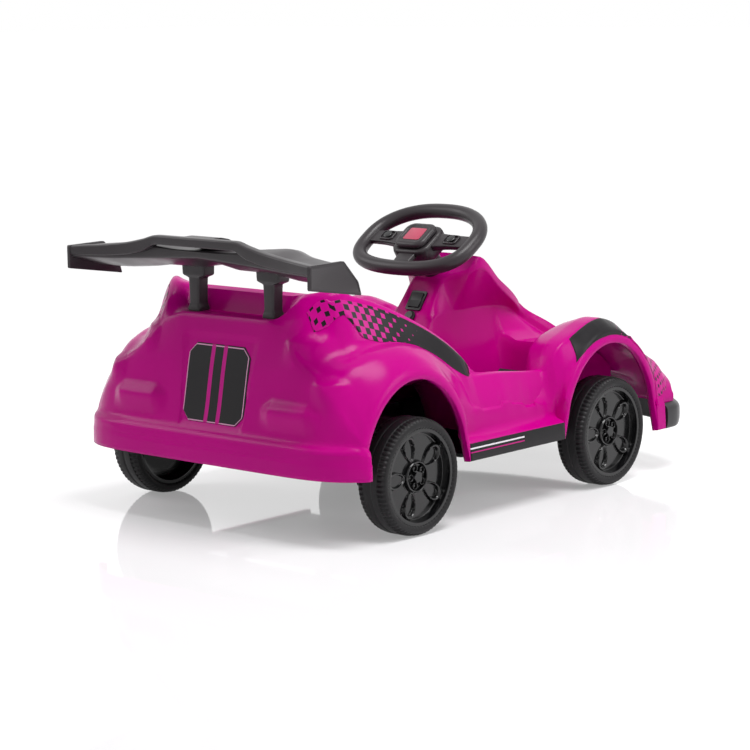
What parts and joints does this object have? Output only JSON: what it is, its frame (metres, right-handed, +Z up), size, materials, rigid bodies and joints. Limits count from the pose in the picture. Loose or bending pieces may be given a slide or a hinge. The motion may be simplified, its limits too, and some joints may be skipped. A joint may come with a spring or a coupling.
{
  "type": "ride-on electric kart",
  "caption": "Child's ride-on kart: one-piece bucket-seat body, steered front wheels, geared rear wheels, foot pedal, dash switch, front bumper and rear wing",
  "frame": {"origin": "On the floor under the centre of the kart's bounding box", "axes": "+Z up, nose to -Y, the driver's left is +X"},
  "size_m": [0.623, 1.032, 0.4823],
  "materials": {
    "body_pink": "gloss",
    "grey_plastic": "satin",
    "bumper_black": "satin",
    "rim_black": "gloss",
    "tyre_black": "satin",
    "frame_black": "matte",
    "switch_black": "gloss",
    "badge_rose": "gloss",
    "steel": "brushed",
    "battery_case": "matte",
    "foot_rubber": "matte"
  },
  "bodies": {
    "chassis": {"body_shell": "body_pink", "chassis_tray": "frame_black", "front_bumper": "bumper_black", "front_axle_beam": "frame_black", "wheel_liner_left": "body_pink", "wheel_liner_right": "body_pink", "column_boot": "grey_plastic", "column_bearing": "frame_black", "rear_axle": "steel", "battery": "battery_case", "battery_strap": "frame_black", "control_box": "frame_black", "rear_wing": "grey_plastic", "switch_bezel": "switch_black", "power_collar": "switch_black", "charge_cap": "switch_black", "pedal_base": "frame_black", "pedal_pin": "steel", "kingpin_left": "steel", "axle_clamp_left": "frame_black", "gearbox_left": "frame_black", "motor_left": "steel", "endplate_left": "grey_plastic", "wing_post_left": "grey_plastic", "kingpin_right": "steel", "axle_clamp_right": "frame_black", "gearbox_right": "frame_black", "motor_right": "steel", "endplate_right": "grey_plastic", "wing_post_right": "grey_plastic"},
    "steering": {"steering_wheel": "grey_plastic", "steering_column": "steel"},
    "horn": {"horn_pad": "badge_rose"},
    "button_left": {"wheel_button_left": "switch_black"},
    "button_right": {"wheel_button_right": "switch_black"},
    "tie": {"tie_bar": "steel"},
    "knuckle_left": {"knuckle_left": "frame_black"},
    "knuckle_right": {"knuckle_right": "frame_black"},
    "pedal": {"accelerator_pedal": "foot_rubber"},
    "switch": {"direction_switch": "switch_black"},
    "power": {"power_button": "switch_black"},
    "wheel_front_left": {"tyre_front_left": "tyre_black", "rim_front_left": "rim_black", "hub_cap_front_left": "rim_black"},
    "wheel_rear_left": {"tyre_rear_left": "tyre_black", "rim_rear_left": "rim_black", "hub_cap_rear_left": "rim_black"},
    "wheel_front_right": {"tyre_front_right": "tyre_black", "rim_front_right": "rim_black", "hub_cap_front_right": "rim_black"},
    "wheel_rear_right": {"tyre_rear_right": "tyre_black", "rim_rear_right": "rim_black", "hub_cap_rear_right": "rim_black"}
  },
  "joints": [
    {"name": "steer", "type": "hinge", "parent": "chassis", "child": "steering", "pos_m": [0, -0.0666, 0.4236], "axis": [0, 0.5476, 0.8368], "range_deg": [-35, 35]},
    {"name": "horn_press", "type": "slide", "parent": "steering", "child": "horn", "axis": [0, -0.5476, -0.8368], "range_m": [0, 0.0025], "stiffness_N_per_m": 300, "springref_m": -0.002},
    {"name": "button_press_left", "type": "slide", "parent": "steering", "child": "button_left", "axis": [0, -0.5476, -0.8368], "range_m": [0, 0.002], "stiffness_N_per_m": 250, "springref_m": -0.002},
    {"name": "button_press_right", "type": "slide", "parent": "steering", "child": "button_right", "axis": [0, -0.5476, -0.8368], "range_m": [0, 0.002], "stiffness_N_per_m": 250, "springref_m": -0.002},
    {"name": "tie_slide", "type": "slide", "parent": "chassis", "child": "tie", "axis": [1, 0, 0], "range_m": [-0.0247, 0.0247]},
    {"name": "kingpin_turn_left", "type": "hinge", "parent": "chassis", "child": "knuckle_left", "pos_m": [0.205, -0.217, 0.095], "axis": [0, 0, 1], "range_deg": [-15.4, 15.4]},
    {"name": "kingpin_turn_right", "type": "hinge", "parent": "chassis", "child": "knuckle_right", "pos_m": [-0.205, -0.217, 0.095], "axis": [0, 0, 1], "range_deg": [-15.4, 15.4]},
    {"name": "wheel_spin_front_left", "type": "hinge", "parent": "knuckle_left", "child": "wheel_front_left", "pos_m": [0.28, -0.217, 0.095], "axis": [1, 0, 0], "continuous": true},
    {"name": "wheel_spin_front_right", "type": "hinge", "parent": "knuckle_right", "child": "wheel_front_right", "pos_m": [-0.28, -0.217, 0.095], "axis": [1, 0, 0], "continuous": true},
    {"name": "wheel_spin_rear_left", "type": "hinge", "parent": "chassis", "child": "wheel_rear_left", "pos_m": [0.28, 0.301, 0.095], "axis": [1, 0, 0], "continuous": true},
    {"name": "wheel_spin_rear_right", "type": "hinge", "parent": "chassis", "child": "wheel_rear_right", "pos_m": [-0.28, 0.301, 0.095], "axis": [1, 0, 0], "continuous": true},
    {"name": "pedal_press", "type": "hinge", "parent": "chassis", "child": "pedal", "pos_m": [-0.12, -0.108, 0.14], "axis": [1, 0, 0], "range_deg": [0, 18], "stiffness_Nm_per_rad": 0.5, "springref_deg": -9.74},
    {"name": "switch_rock", "type": "hinge", "parent": "chassis", "child": "switch", "pos_m": [0, -0.05256, 0.31902], "axis": [1, 0, 0], "range_deg": [-4, 4]},
    {"name": "power_press", "type": "slide", "parent": "chassis", "child": "power", "axis": [0, -0.8093, -0.5873], "range_m": [0, 0.0015], "stiffness_N_per_m": 250, "springref_m": -0.002}
  ],
  "couplings": [
    {"joint": "tie_slide", "follows": "steer", "m_per_rad": 0.0403},
    {"joint": "kingpin_turn_left", "follows": "steer", "ratio": 0.4379},
    {"joint": "kingpin_turn_right", "follows": "steer", "ratio": 0.4379}
  ]
}
